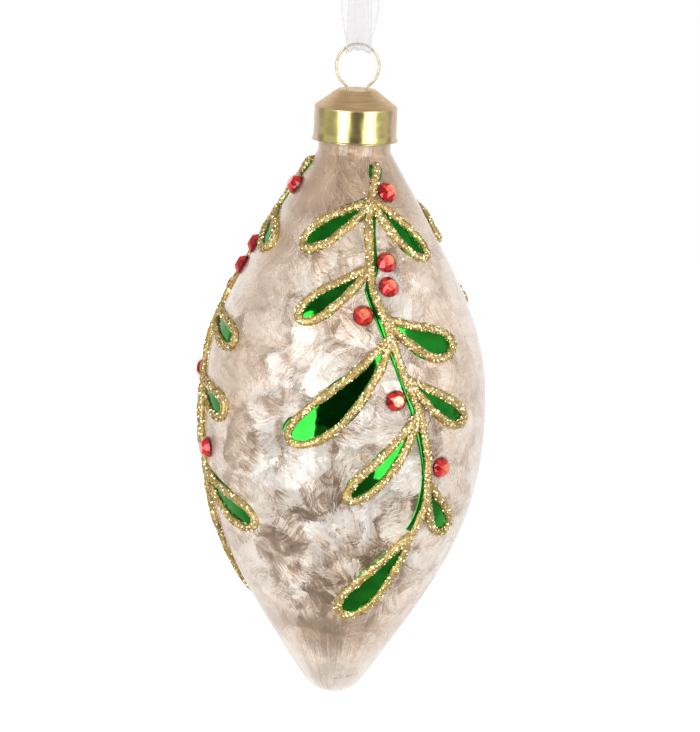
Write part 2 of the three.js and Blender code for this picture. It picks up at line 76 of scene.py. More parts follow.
# Half the loop: its distance from the axis at heights over the ring's top wire
RIBBON_LEG = [(1.4, 2.5), (2.1, 8), (3.4, 17), (4.5, 28), (5, 38), (4.8, 46), (3.6, 52), (0.7, 58.2)]
KNOT = Sizes(
    half_width=3.9, half_depth=2.7, half_height=2.9, band=0.9, tail_length=13, tail_lean=28, seat=0.3,
    ripple=0.07, ripples=9, tail_start=0.24, tail_bend=1.6, tail_pleat=0.3, tail_fade=0.6, tail_slant=0.5,
    turn_width=1.6, turn_ripple=0.12, turn_ripples=5,
)
BEAD = Sizes(
    width=1.9, height=1.15, step=0.35, waver=0.13, waver_length=2.2, drift=0.12, drift_length=3,
    roundness=0.8, stem_taper=1.2, leaf_taper=0.5, blunt=0.02, least_places=8,
    least_knots=4,
)
FLAKE = Sizes(
    radius=0.17, least=0.7, most=1.3, each_mm=34, lean=0.55, lift=0.05, strays=0.012, slip=1.3,
    stray_lift=0.1,
)
LACQUER = Sizes(
    thickness=0.2, rounding=(-0.1, 0.3), start=0.015, covers=0.97, spill=0.9, spill_waver=0.4, most_spill=4)
PAINT = Sizes(
    top=0.988, bottom=0.38, half=0.8, waver=0.25, blob=0.9, blob_from=0.955, blob_to=0.975,
    drift_at=(0.38, 0.78, 0.81, 0.92, 0.95), drift=(-1, -1, 1, 1, 0),
)
DAB = Sizes(length=4.2, half=1.1, before_tip=4.6, aside=3.9, slant=1.2, start=0.02, covers=0.96)
STONE = Sizes(
    diameter=4.8, height=2, girdle=0.55, table=2.5, foot=0.94, foot_height=0.4, crown=0.8, crown_height=0.66,
    gap=0.3, spin=(-1, -0.5),
)
# How deep things on the glass are set in it, and where turned shapes stop short of their axis
SINK = 0.05
POLE = 0.01
# The stem's azimuths at its stations. A station is a share of the run along the glass, tip to shoulder
STEM = np.array([
    (33, 0.995), (21.5, 0.949), (15.2, 0.909), (12.3, 0.845), (12.5, 0.791), (18.3, 0.722), (24.3, 0.646),
    (30.5, 0.588), (35, 0.53), (37.7, 0.465), (36.8, 0.405), (31.5, 0.36),
])


# Leaves down the stem. Side is 1 for the right, droop is in degrees below level, bow is the middle's bend
Leaf = namedtuple("Leaf", "station side length droop width bow")
LEAVES = [
    Leaf(0.928, -1, 18.5, 39, 5.4, 0.5),
    Leaf(0.932, 1, 18.1, 53, 5, -0.4),
    Leaf(0.815, -1, 19.5, 40, 5.1, 0),
    Leaf(0.729, 1, 18.7, 23, 6.5, -1),
    Leaf(0.701, -1, 33, 47, 7.5, -1.8),
    Leaf(0.634, 1, 19.8, 32, 4.9, -0.5),
    Leaf(0.579, -1, 25, 51, 4.7, -1.4),
    Leaf(0.465, 1, 15.4, 54, 5.1, -0.9),
    Leaf(0.377, -1, 25.3, 61, 7.4, -0.7),
]
# The left sprig's own leaves, by their place in the list
LEFT_LEAVES = {
    1: Leaf(0.895, 1, 15.2, 34, 5.5, -0.4),
    3: Leaf(0.705, 1, 20.5, 14, 4.8, 0),
    5: Leaf(0.595, 1, 17.3, 18, 5.4, -0.5),
    7: Leaf(0.451, 1, 21.7, 27, 6.2, -0.9),
}
LEAF_SWELL = 0.8
LEAF_ROUND = 4
LEAF_STEPS = 24
# Stations of the stones, their sides of the stem, and how far they stand off its glitter line
STONES = [(0.942, 1, 0), (0.824, 1, 0.3), (0.783, 1, 0), (0.736, -1, 0.9), (0.601, -1, 0.9), (0.488, 1, 0)]
# Names of the sprigs, their turns about the glass, and their own leaves
SPRIGS = [("front", 0, {}), ("left", -114, LEFT_LEAVES), ("right", 130, {})]
FIRST_SEED = 11

cap_rim = GLASS.shoulder_height + CAP.stand_off
cap_shoulder = cap_rim + CAP.band_height
cap_top = cap_shoulder + CAP.cone_height
cap_slope = CAP.cone_height / (CAP.band_radius - CAP.top_radius)
glass_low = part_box("glass_body")[0]
ring_top = (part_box("hanger_wire")[1].z - glass_low.z) / MM - WIRE.radius


def put_in_frame(points):
    """Millimetres over the tip of the glass to metres in the frame."""
    return np.asarray(points, float) * MM + (0, 0, glass_low.z)


# Arrays and curves


def stacked(*parts):
    """Points from their parts, each a number or an array."""
    return np.stack(np.broadcast_arrays(*parts), axis=-1)


def unit(ways):
    return ways / np.linalg.norm(ways, axis=-1, keepdims=True)


def circle(count):
    """Angles evenly round a circle."""
    return np.linspace(0, 2 * math.pi, count, endpoint=False)


def bezier(a, b, c, d, count):
    """A cubic curve: its four points weighted by (1-t)^3, 3t(1-t)^2, 3t^2(1-t) and t^3."""
    t = np.linspace(0, 1, count)[:, None]
    a, b, c, d = (np.asarray(p, float) for p in (a, b, c, d))
    return (1 - t) ** 3 * a + 3 * t * (1 - t) ** 2 * b + 3 * t**2 * (1 - t) * c + t**3 * d


def curve_through(points, count, evenness):
    """Catmull-Rom through points: between two of them a cubic whose end slopes come from their neighbours,
    with each stretch timed by its length to the power evenness."""
    points = np.asarray(points, float)
    points = np.concatenate([2 * points[:1] - points[1:2], points, 2 * points[-1:] - points[-2:-1]])
    place = np.linspace(0, len(points) - 3, count)
    i = np.minimum(place.astype(int), len(points) - 4)
    w = (place - i)[:, None]
    p0, p1, p2, p3 = (points[i + k] for k in range(4))
    pairs = (p0, p1), (p1, p2), (p2, p3)
    d0, d1, d2 = (np.linalg.norm(b - a, axis=1)[:, None] ** evenness for a, b in pairs)
    v1 = d1 * ((p1 - p0) / d0 - (p2 - p0) / (d0 + d1) + (p2 - p1) / d1)
    v2 = d1 * ((p2 - p1) / d1 - (p3 - p1) / (d1 + d2) + (p3 - p2) / d2)
    return (2 * p1 - 2 * p2 + v1 + v2) * w**3 + (3 * p2 - 3 * p1 - 2 * v1 - v2) * w**2 + v1 * w + p1


def run_along(line):
    """The distance along a line at each of its points."""
    return np.concatenate([[0], np.cumsum(np.linalg.norm(np.diff(line, axis=0), axis=1))])


def evenly(line, count):
    """The line again, with count points the same distance apart."""
    run = run_along(line)
    at = np.linspace(0, run[-1], count)
    return stacked(*(np.interp(at, run, column) for column in line.T))


def directions(line):
    """Unit tangents along a line."""
    return unit(np.gradient(line, axis=0))


def smooth_noise(rng, count, knots):
    """A wavering number from about -1 to 1: random values at a few knots, joined by a smooth curve."""
    return curve_through(stacked(np.arange(knots), rng.uniform(-1, 1, knots)), count, 0)[:, 1]


def smoothstep(value, low, high):
    t = np.clip((value - low) / (high - low), 0, 1)
    return t * t * (3 - 2 * t)


# The glass profile, and places on it


def glass_curves():
    """Radius and height from tip to shoulder: an arc for the tip, a cubic into the belly and one out."""
    angle = np.linspace(0, GLASS.tip_sweep * DEGREE, 60)
    tip = GLASS.tip_radius * stacked(np.sin(angle), 1 - np.cos(angle))
    way = np.array([math.cos(angle[-1]), math.sin(angle[-1])])
    belly = np.array([GLASS.belly_radius, GLASS.belly_height])
    shoulder = np.array([GLASS.shoulder_radius, GLASS.shoulder_height])
    lean = GLASS.shoulder_lean * DEGREE
    lower = bezier(
        tip[-1], tip[-1] + way * GLASS.lower_tip_pull, belly - (0, GLASS.lower_belly_pull), belly, 300)
    upper = bezier(
        belly, belly + (0, GLASS.upper_belly_pull),
        shoulder - GLASS.shoulder_pull * np.array([-math.sin(lean), math.cos(lean)]), shoulder, 300)
    return np.concatenate([tip, lower[1:], upper[1:]])


glass_line = glass_curves()
glass_run = run_along(glass_line)
glass_way = directions(glass_line)
FULL_RUN = glass_run[-1]


def radius_at(run):
    return np.interp(run, glass_run, glass_line[:, 0])


def outward_at(azimuth, run):
    """The glass's unit normal: its slope turned a quarter, then turned about the axis by the azimuth."""
    flat = np.interp(run, glass_run, glass_way[:, 1])
    up = -np.interp(run, glass_run, glass_way[:, 0])
    angle = np.asarray(azimuth) * DEGREE
    return unit(stacked(flat * np.sin(angle), -flat * np.cos(angle), up))


def on_glass(azimuth, run, lift):
    """The point at an azimuth and a distance along the glass from its tip, lifted off it along its normal."""
    radius = radius_at(run)
    height = np.interp(run, glass_run, glass_line[:, 1])
    angle = np.asarray(azimuth) * DEGREE
    foot = stacked(radius * np.sin(angle), -radius * np.cos(angle), height)
    return foot + outward_at(azimuth, run) * np.asarray(lift)[..., None]


# Objects and meshes


def added(name, data):
    thing = bpy.data.objects.new(name, data)
    bpy.context.scene.collection.objects.link(thing)
    return thing


def stand_back(thing, target, azimuth, elevation, distance, roll=0):
    """Puts a camera or lamp at a distance, azimuth and elevation from a point, and faces it there."""
    turn, tilt = azimuth * DEGREE, elevation * DEGREE
    back = Vector((math.sin(turn) * math.cos(tilt), -math.cos(turn) * math.cos(tilt), math.sin(tilt)))
    thing.location = Vector(put_in_frame(target)) + back * distance * MM
    thing.rotation_mode = "QUATERNION"
    thing.rotation_quaternion = (-back).to_track_quat("-Z", "Y") @ Quaternion((0, 0, 1), roll * DEGREE)


def surface(name, points, faces, skin, body, node=None, smooth=True, uv=None, marks=None):
    """A piece from millimetre points, in rows or not, and arrays of corners. It rides on a body and may
    replace a node's surface. marks are numbers for its faces."""
    mesh = bpy.data.meshes.new(name)
    corners = [row for block in faces for row in block.tolist()]
    mesh.from_pydata(put_in_frame(points).reshape(-1, 3).tolist(), [], corners)
    mesh.polygons.foreach_set("use_smooth", np.full(len(corners), smooth))
    if uv is not None:
        layer = mesh.uv_layers.new(name="UVMap")
        loop_vertices = np.zeros(len(mesh.loops), int)
        mesh.loops.foreach_get("vertex_index", loop_vertices)
        layer.data.foreach_set("uv", uv.reshape(-1, 2)[loop_vertices].ravel())
    if marks is not None:
        layer = mesh.attributes.new("cut", "FLOAT", "FACE")
        layer.data.foreach_set("value", marks)
    mesh.materials.append(skin)
    mesh.validate()
    mesh.update()
    piece = added(name, mesh)
    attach(piece, body)
    if node:
        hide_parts(node)
    return piece


def grid_faces(rows, columns):
    """Corners of the squares of a grid of points whose last column joins its first."""
    row, column = (place.ravel() for place in np.indices((rows - 1, columns)))
    after = (column + 1) % columns
    low, high = row * columns, (row + 1) * columns
    return stacked(low + column, low + after, high + after, high + column)


def capped_faces(rows, columns):
    """A grid and its two end faces, which makes a tube a closed body."""
    end = np.arange(columns)
    return [grid_faces(rows, columns), end[None, ::-1], end[None] + (rows - 1) * columns]


def joined(parts):
    """The points and the faces of several bodies as one body's."""
    points = [rows.reshape(-1, 3) for rows, _ in parts]
    firsts = np.cumsum([0] + [len(block) for block in points])
    faces = [block + first for (_, blocks), first in zip(parts, firsts) for block in blocks]
    return np.concatenate(points), faces


def ring_of(angle, first, second):
    """Round each place the sum of its two axes, one times the cosine of each angle and one times its sine."""
    return np.cos(angle)[:, None] * first[:, None] + np.sin(angle)[:, None] * second[:, None]


def turned(profile, sides):
    """A profile of radius and height turned about the upright axis, as rows of points."""
    angle = circle(sides)
    radius, height = profile[:, 0, None], profile[:, 1, None]
    return stacked(radius * np.sin(angle), -radius * np.cos(angle), height)


# Material nodes. Each helper finds its tree by the node outputs it is given.


def linear(value):
    """A web colour as the linear numbers that a socket takes. Anything else stays as it is."""
    if not isinstance(value, str):
        return value
    values = [int(value[i : i + 2], 16) / 255 for i in (1, 3, 5)]
    return [v / 12.92 if v <= 0.04045 else ((v + 0.055) / 1.055) ** 2.4 for v in values] + [1]


def feed(node, values):
    """Gives each named input of a node a plain value or another node's output."""
    for key, value in dict(values).items():
        if isinstance(value, bpy.types.NodeSocket):
            node.id_data.links.new(value, node.inputs[key])
        else:
            node.inputs[key].default_value = linear(value)
    return node


def add(tree, kind, values=(), **settings):
    """A new node with its settings and the values of its inputs."""
    node = tree.nodes.new(kind)
    for key, value in settings.items():
        setattr(node, key, value)
    return feed(node, values)


def node_from(kind, values, **settings):
    """A new node in the tree that its first given output is in."""
    values = dict(values)
    tree = next(value.id_data for value in values.values() if isinstance(value, bpy.types.NodeSocket))
    return add(tree, kind, values, **settings).outputs


def maths(operation, *values):
    return node_from("ShaderNodeMath", enumerate(values), operation=operation)[0]


def plus(first, second):
    return maths("ADD", first, second)


def times(first, second):
    return maths("MULTIPLY", first, second)


def vectors(operation, *values):
    outputs = node_from("ShaderNodeVectorMath", enumerate(values), operation=operation)
    return outputs["Value" if operation == "DOT_PRODUCT" else "Vector"]


def scaled(vector, scale):
    return node_from("ShaderNodeVectorMath", {0: vector, "Scale": scale}, operation="SCALE")[0]


def parts_of(vector):
    return node_from("ShaderNodeSeparateXYZ", {0: vector})


def combined(**parts):
    return node_from("ShaderNodeCombineXYZ", parts)[0]


def blended(share, first, second):
    return node_from("ShaderNodeMix", {0: share, 6: first, 7: second}, data_type="RGBA")[2]


def ranged(value, low, high, to_low=0, to_high=1, smooth=True):
    kind = "SMOOTHSTEP" if smooth else "LINEAR"
    values = {"Value": value, "From Min": low, "From Max": high, "To Min": to_low, "To Max": to_high}
    return node_from("ShaderNodeMapRange", values, interpolation_type=kind)[0]


def noise(vector, scale, detail=2, roughness=0.5, output=0):
    values = {"Vector": vector, "Scale": scale, "Detail": detail, "Roughness": roughness}
    return node_from("ShaderNodeTexNoise", values)[output]


def weighted(values, weights):
    """The sum of each value times its weight."""
    total = 0
    for value, weight in zip(values, weights):
        total = maths("MULTIPLY_ADD", value, weight, total)
    return total


def colour_ramp(value, stops):
    """The colour that a value has on a line of stops, each a place and a colour."""
    node = add(value.id_data, "ShaderNodeValToRGB", {0: value})
    elements = node.color_ramp.elements
    for place, tint in stops[1:-1]:
        elements.new(place).color = linear(tint)
    for end in (0, -1):
        place, tint = stops[end]
        elements[end].position, elements[end].color = place, linear(tint)
    return node.outputs[0]


def facing(tree, blend):
    """0 where the surface faces the eye and 1 at its edge."""
    return add(tree, "ShaderNodeLayerWeight", {"Blend": blend}).outputs["Facing"]


def millimetres(tree):
    """Object coordinates in millimetres."""
    return scaled(add(tree, "ShaderNodeTexCoord").outputs["Object"], 1 / MM)


def height_of(point):
    """The height over the tip of the glass."""
    return maths("SUBTRACT", parts_of(point)[2], glass_low.z / MM)


def azimuth_of(point):
    """The azimuth in radians, from the front."""
    parts = parts_of(point)
    return maths("ARCTAN2", parts[0], times(parts[1], -1))


def drawn_out(point, around, up):
    """Places for a noise that is drawn out: how far it moves for a turn round the axis, and for a way up."""
    ring = vectors("NORMALIZE", vectors("MULTIPLY", point, (1, 1, 0)))
    return vectors("ADD", scaled(ring, around), vectors("MULTIPLY", point, (0, 0, up)))


def bumped(shader, height, distance):
    bump = node_from("ShaderNodeBump", {"Height": height, "Distance": distance * MM, "Strength": 1})
    feed(shader, {"Normal": bump[0]})


def group(name, inputs, outputs):
    """An empty node group, what it is given, and its output node. All sockets but Vector are numbers."""
    tree = bpy.data.node_groups.new(name, "ShaderNodeTree")
    for side, sockets in (("INPUT", inputs), ("OUTPUT", outputs)):
        for socket in sockets.split():
            kind = "NodeSocketVector" if socket == "Vector" else "NodeSocketFloat"
            tree.interface.new_socket(socket, in_out=side, socket_type=kind)
    return tree, tree.nodes.new("NodeGroupInput").outputs, tree.nodes.new("NodeGroupOutput")


def placed(node_group, **values):
    return node_from("ShaderNodeGroup", values, node_tree=node_group)


def material(name, **values):
    """A material with one Principled shader. An underscore in a value's name stands for a space."""
    made = bpy.data.materials.new(name)
    made.use_nodes = True
    shader = made.node_tree.nodes["Principled BSDF"]
    return made, made.node_tree, feed(shader, {key.replace("_", " "): value for key, value in values.items()})


# Materials


def ice_fans_group():
    """Frost crystals: each Voronoi cell is a fan whose hair lines spread from a point behind the cell. A
    first look finds the fan and its hairs, which then push the point along the fan, so that the second look,
    the one that is used, finds fans with frayed edges. Shade is a random number for each fan, Hair its lines,
    Along the way up it, and Tilt the slope of its plate."""
    tree, given, out = group("ice_fans", "Vector Size Spread Hairs Shift Fray", "Shade Hair Along Tilt")
    hair_length, fan_step, hair_low, hair_high = 1.1, 57, 0.36, 0.64

    def look(point):
        cells = node_from("ShaderNodeTexVoronoi", {"Vector": point, "Scale": 1, "Randomness": 1})
        from_centre = vectors("SUBTRACT", point, cells["Position"])
        out_way = vectors("NORMALIZE", vectors("MULTIPLY", cells["Position"], (1, 1, 0)))
        random_way = vectors("SUBTRACT", cells["Color"], (0.5, 0.5, 0.5))
        across = vectors("NORMALIZE", vectors("CROSS_PRODUCT", out_way, random_way))
        ahead = vectors("CROSS_PRODUCT", out_way, across)
        x = vectors("DOT_PRODUCT", from_centre, across)
        y = vectors("DOT_PRODUCT", from_centre, ahead)
        reach = plus(y, given["Spread"])
        random = node_from("ShaderNodeSeparateColor", {0: cells["Color"]})
        strand = combined(X=times(maths("ARCTAN2", x, reach), given["Hairs"]), Y=times(reach, hair_length),
                          Z=times(random[2], fan_step))
        hair = ranged(noise(strand, 1, 3, 0.6), hair_low, hair_high, smooth=False)
        return x, y, ahead, random, hair

    moved = vectors("ADD", given["Vector"], combined(Z=given["Shift"]))
    point = scaled(moved, maths("DIVIDE", 1, given["Size"]))
    _, _, ahead, _, hair = look(point)
    push = times(maths("SUBTRACT", hair, 0.5), given["Fray"])
    x, y, _, random, hair = look(vectors("ADD", point, scaled(ahead, push)))
    tilt = times(x, maths("SUBTRACT", random[1], 0.5))
    feed(out, {"Shade": random[0], "Hair": hair, "Along": y, "Tilt": tilt})
    return tree


def uneven_group():
    """Slow waves of a stamped, dipped or brushed skin: soft noise at one scale with a finer one over it."""
    tree, given, out = group("uneven_skin", "Vector Scale Fine", "Height")
    slow = noise(given["Vector"], given["Scale"], 1)
    fine = noise(given["Vector"], times(given["Scale"], 9), 2)
    feed(out, {"Height": plus(slow, times(fine, given["Fine"]))})
    return tree


ice_fans = ice_fans_group()
uneven_skin = uneven_group()

# Layers of fans, and the weights of what each layer gives
ICE = [
    dict(Size=11, Spread=1, Hairs=34, Shift=0, Fray=0.26),
    dict(Size=5.6, Spread=0.9, Hairs=18, Shift=310, Fray=0.22),
    dict(Size=2.9, Spread=0.8, Hairs=9, Shift=730, Fray=0.2),
]
ICE_WEIGHTS = dict(Shade=(0.28, 0.22, 0.16), Hair=(0.3, 0.22, 0.1), Along=(0.34, 0.28, 0.16), Tilt=(1, 0.6))
# Where the frost changes, and where light and shade are painted on it: pairs of heights, and of azimuths in
# radians
FROST = Sizes(
    neck=(100, 126), tip=(32, 10), crisp=(84, 50), crisp_front=(0.4, 0.9), pale_tip=(20, 5), thin=(98, 124),
    low_front=(50, 36), low_front_ends=(6, 20), low_front_sides=(0.75, 0.3),
)


def frosted_glass():
    """Clear gloss over an inner frost of ice fans, silvered behind, with long hair lines towards neck and
    tip. The frost is crisp low on the belly and melts away towards the top and the sides. Light and shade are
    painted into its colour: a darker, flatter zone low on the front is a painted reflection of the room's
    dark front, the tone is painted lighter towards the tip, and paler, pinker edges are a painted reflection
    of the white surroundings with a painted glow of light through the glass."""
    made, tree, shader = material(
        "frosted_glass", Metallic=0.65, Coat_Weight=1, Coat_Roughness=0.06, IOR=1.45)
    point = millimetres(tree)
    height = height_of(point)
    aside = maths("ABSOLUTE", azimuth_of(point))
    swayed = vectors("ADD", point, scaled(noise(point, 0.12, 1, output="Color"), 5))
    fans = [placed(ice_fans, Vector=swayed, **layer) for layer in ICE]
    shades, hairs, rises, tilts = (
        weighted([fan[what] for fan in fans], weights) for what, weights in ICE_WEIGHTS.items())

    # Tone: the fans, and long hair lines at both ends
    ends = maths("MAXIMUM", ranged(height, *FROST.neck), ranged(height, *FROST.tip))
    long_hair = noise(drawn_out(point, 26, 0.03), 1, 3, 0.65)
    lines = weighted((long_hair, fans[0]["Shade"]), (0.7, 0.14))
    tone = plus(times(plus(plus(shades, hairs), rises), maths("SUBTRACT", 1, ends)), times(lines, ends))
    crisp = times(ranged(height, *FROST.crisp, 0.45, 1), ranged(aside, *FROST.crisp_front, 1, 0.35))
    crisp = times(crisp, ranged(ends, 0, 1, 1, 0.8))
    # Painted light: the tone is raised towards the tip
    spread = plus(times(maths("SUBTRACT", tone, 0.54), crisp), ranged(height, *FROST.pale_tip, 0, 0.16))
    # Painted reflection: low on the front the tone is darker and flatter, standing in for the dark front of
    # the room mirrored there
    low_front = times(ranged(height, *FROST.low_front), ranged(aside, *FROST.low_front_sides))
    low_front = times(low_front, ranged(height, *FROST.low_front_ends))
    spread = times(spread, ranged(low_front, 0, 1, 1, 0.7))
    tone = plus(spread, ranged(low_front, 0, 1, 0.55, 0.43))

    frost = colour_ramp(tone, [(0.3, "#8f7b66"), (0.46, "#bfa38b"), (0.58, "#efdac7"), (0.76, "#fffaf2")])
    frost = blended(ranged(height, *FROST.thin, 0, 0.65), frost, "#bfa285")
    # Painted edge light: where the surface turns from the eye the colour goes paler and pinker, a painted
    # reflection of the white surroundings and a painted glow of light through the glass
    pale = ranged(facing(tree, 0.35), 0.5, 1, 0, 0.75)
    feed(shader, {"Base Color": blended(pale, frost, "#f0d0c8"),
                  "Roughness": ranged(tone, 0.3, 0.75, 0.16, 0.32)})
    bumped(shader, times(plus(tilts, times(hairs, 0.3)), crisp), 3)
    return made


def green_lacquer():
    """Green lacquer over a mirror: a coloured metal under gloss, with slow waves where the brush left it."""
    made, tree, shader = material(
        "green_lacquer", Metallic=1, Roughness=0.07, Coat_Weight=0.2, Coat_Roughness=0.02)
    point = millimetres(tree)
    pool = ranged(noise(point, 0.25), 0.3, 0.7)
    feed(shader, {"Base Color": blended(pool, "#117a1a", "#1e9428")})
    bumped(shader, placed(uneven_skin, Vector=point, Scale=0.3, Fine=0.02)["Height"], 0.12)
    return made


def gold_metal(name, tint, worn, roughness, wave):
    """Gold-washed metal: its colour fades to a worn one in soft patches, and its skin is a little uneven."""
    made, tree, shader = material(name, Metallic=1)
    point = millimetres(tree)
    patch = noise(point, 0.45, 4, 0.6)
    feed(shader, {"Base Color": blended(ranged(patch, 0.4, 0.75), tint, worn),
                  "Roughness": ranged(patch, 0.2, 0.8, roughness, roughness + 0.08)})
    bumped(shader, placed(uneven_skin, Vector=point, Scale=0.35, Fine=0.03)["Height"], wave)
    return made


def cap_gold():
    """The stamped cap: a mirror band under a satin cone that is spun in fine rings. The band's gold goes
    pinkish tan where it faces away from the eye, a painted reflection of the surroundings.
    """
    made, tree, shader = material("cap_gold", Metallic=1)
    point = millimetres(tree)
    satin = ranged(height_of(point), cap_shoulder - 0.45, cap_shoulder + 0.1)
    grain = noise(drawn_out(point, 1.5, 9), 1, 3, 0.6)
    cone_tint = blended(ranged(grain, 0.3, 0.7), "#d0b084", "#ebd0a6")
    # Painted reflection: the band's gold turns pinkish tan where the surface turns from the eye
    band_gold_and_painted_reflection = blended(ranged(facing(tree, 0.5), 0.3, 0.55), "#d3c886", "#cfb79b")
    feed(shader, {"Base Color": blended(satin, band_gold_and_painted_reflection, cone_tint),
                  "Roughness": ranged(satin, 0, 1, 0.24, 0.4, smooth=False)})
    skin = placed(uneven_skin, Vector=point, Scale=0.25, Fine=0.01)["Height"]
    bumped(shader, plus(skin, times(grain, ranged(satin, 0, 1, 0, 0.08))), 0.16)
    return made


def red_stone():
    """Foiled red glass under a clear gloss: each facet's colour comes from its own mark, a painted inner
    reflection, with a painted highlight on the table.
    """
    made, tree, shader = material(
        "red_stone", Metallic=0.45, Roughness=0.12, Coat_Weight=0.6, Coat_Roughness=0.03)
    # The cut attribute holds each facet's painted light: the inner reflection it shows
    cut = add(tree, "ShaderNodeAttribute", attribute_name="cut").outputs["Fac"]
    cloud = ranged(noise(millimetres(tree), 1.4, 1), 0.3, 0.7, -0.08, 0.08)
    painted_facet_light = [(0.05, "#740a10"), (0.45, "#c8181d"), (0.84, "#f2463e"), (0.97, "#ff9a78")]
    feed(shader, {"Base Color": colour_ramp(plus(cut, cloud), painted_facet_light)})
    return made


def organza():
    """Sheer weave: threads by the piece's own UV, in millimetres, more open between the two woven edges."""
    made, tree, shader = material(
        "organza", Base_Color="#d9d6d8", Roughness=0.55, Sheen_Weight=0.5, Sheen_Roughness=0.4)
    made.surface_render_method = "DITHERED"
    place = parts_of(add(tree, "ShaderNodeTexCoord").outputs["UV"])
    threads = [ranged(maths("SINE", times(place[axis], 2 * math.pi / RIBBON.thread_pitch)), 0.1, 0.8)
               for axis in (0, 1)]
    weave = maths("MAXIMUM", *threads)
    edge_from = RIBBON.width / 2 - RIBBON.edge
    edge = ranged(maths("ABSOLUTE", place[0]), edge_from, edge_from + RIBBON.edge_fade)
    feed(shader, {"Alpha": plus(ranged(weave, 0, 1, 0.12, 0.4, smooth=False), times(edge, 0.35))})
    bumped(shader, weave, 0.03)
    return made


FROSTED_GLASS = frosted_glass()
CAP_GOLD = cap_gold()
WIRE_GOLD = gold_metal("wire_gold", "#d8cbab", "#ab9c7c", 0.3, 0.004)
GLITTER_BED = gold_metal("glitter_bed", "#d4bc78", "#a08850", 0.5, 0.2)
GLITTER_FLAKE = gold_metal("glitter_flake", "#f8ecc4", "#e2cf98", 0.2, 0)
GREEN_LACQUER = green_lacquer()
RED_STONE = red_stone()
ORGANZA = organza()

# Camera

VIEW = Sizes(distance=1200, elevation=10.2, lens=258.3, roll=2.35, aim=(1.03, 0, 76.2))


def make_camera():
    """A long lens at the photograph's angle, rolled by the ornament's lean."""
    data = bpy.data.cameras.new("camera")
    data.lens = VIEW.lens
    camera = added("camera", data)
    stand_back(camera, VIEW.aim, 0, VIEW.elevation, VIEW.distance, VIEW.roll)
    bpy.context.scene.camera = camera


make_camera()

# Ribbon


def ribbon_route():
    """Depth and height over the ring's top wire: down one leg, round the wire and up the other."""
    fold = [(RIBBON.fold_radius * math.sin(a * DEGREE), -RIBBON.fold_radius * math.cos(a * DEGREE))
            for a in (60, 30, 0, -30, -60)]
    points = [*RIBBON_LEG[::-1], *fold, *((-depth, height) for depth, height in RIBBON_LEG)]
    return np.array([(0, depth, ring_top + height) for depth, height in points])


def strip(middle, offset, across, run):
    """A strip's two sides, an offset either way from its middle, with its flat width and run as its UV."""
    points = np.concatenate([middle + offset, (middle - offset)[:, ::-1]], axis=1)
    flat_x = RIBBON.width / 2 * np.concatenate([across, across[::-1]])
    return points, capped_faces(*points.shape[:2]), stacked(flat_x, run[:, None])


def pleats(across):
    return np.cos(across * math.pi * RIBBON.half_pleats)


def ribbon_strip(knot):
    """A thin closed strip carried along the route. Across it runs a shallow pleat that deepens where the
    strip is gathered, by its knot and in the ring, where it also follows the ring's arch. Its second leg is
    drawn together along its length."""
    line = evenly(curve_through(ribbon_route(), 1200, 0.5), 260)
    height = line[:, 2] - ring_top
    opened = smoothstep(height, 0, RIBBON.gather)
    shut = smoothstep(RIBBON_LEG[-1][1] - height, 0, RIBBON.gather)
    low = RIBBON.fold_width + (RIBBON.width - RIBBON.fold_width) * opened
    second_leg = smoothstep(line[:, 1], 0, RIBBON.fold_radius) * opened
    half = (RIBBON.knot_width + (low - RIBBON.knot_width) * shut) / 2
    half = half * (1 - (1 - RIBBON.gathered) * second_leg)
    _, way_y, way_z = directions(line).T
    out = stacked(0, -way_z, way_y)
    across = np.linspace(-1, 1, 33)
    x = half[:, None] * across
    reach = np.minimum(np.abs(x) / WIRE.half_width, 1)
    arch = (1 - opened)[:, None] * WIRE.half_height * (1 - np.sqrt(1 - reach**2))
    pleat = (RIBBON.pleat + RIBBON.gathered_pleat * (1 - opened * shut))[:, None] * pleats(across)
    middle = line[:, None] + out[:, None] * pleat[..., None] + stacked(x, 0, -arch)
    run = run_along(line)
    points, faces, uv = strip(middle, out[:, None] * RIBBON.thickness / 2, across, run)
    piece = surface("ribbon_strip", points, faces, ORGANZA, "ribbon", "ribbon_loop", uv=uv)


def leaning(x, y, z, lean):
    """Points turned sideways by a lean in degrees."""
    sine, cosine = math.sin(lean * DEGREE), math.cos(lean * DEGREE)
    return stacked(x * cosine + z * sine, y, z * cosine - x * sine)


def knot_tail(side):
    """One cut tail: a strip that widens from the knot, bends forwards or back, and waves across."""
    share = np.linspace(0, 1, 24)[:, None]
    across = np.linspace(-1, 1, 21)
    x = (RIBBON.fold_width + (RIBBON.width - RIBBON.fold_width) * share) / 2 * across
    wave = KNOT.tail_pleat * pleats(across) * (1 - KNOT.tail_fade * share)
    y = side * (KNOT.tail_start + KNOT.tail_bend * share**2) + wave
    z = KNOT.half_height / 2 + share * KNOT.tail_length + KNOT.tail_slant * side * across * share
    middle = leaning(x, y, z, side * KNOT.tail_lean)
    return strip(middle, np.array([0, RIBBON.thickness / 2, 0]), across, share[:, 0] * KNOT.tail_length)


def knot_lump():
    """The pulled-tight lump: a ball whose radius ripples with the gathered folds that run round it."""
    pole = 0.02
    rows, columns = 33, 48
    polar, around = np.meshgrid(np.linspace(pole, math.pi - pole, rows), circle(columns), indexing="ij")
    folds = np.cos(around * KNOT.ripples + 1.5 * np.cos(polar * 2))
    ripple = 1 - KNOT.ripple * (1 - folds) * np.sin(polar)
    x = KNOT.half_width * np.cos(polar)
    y = KNOT.half_depth * np.sin(polar) * np.cos(around) * ripple
    z = KNOT.half_height * np.sin(polar) * np.sin(around) * ripple
    return stacked(x, y, z), capped_faces(rows, columns), stacked(x, KNOT.half_height * around)


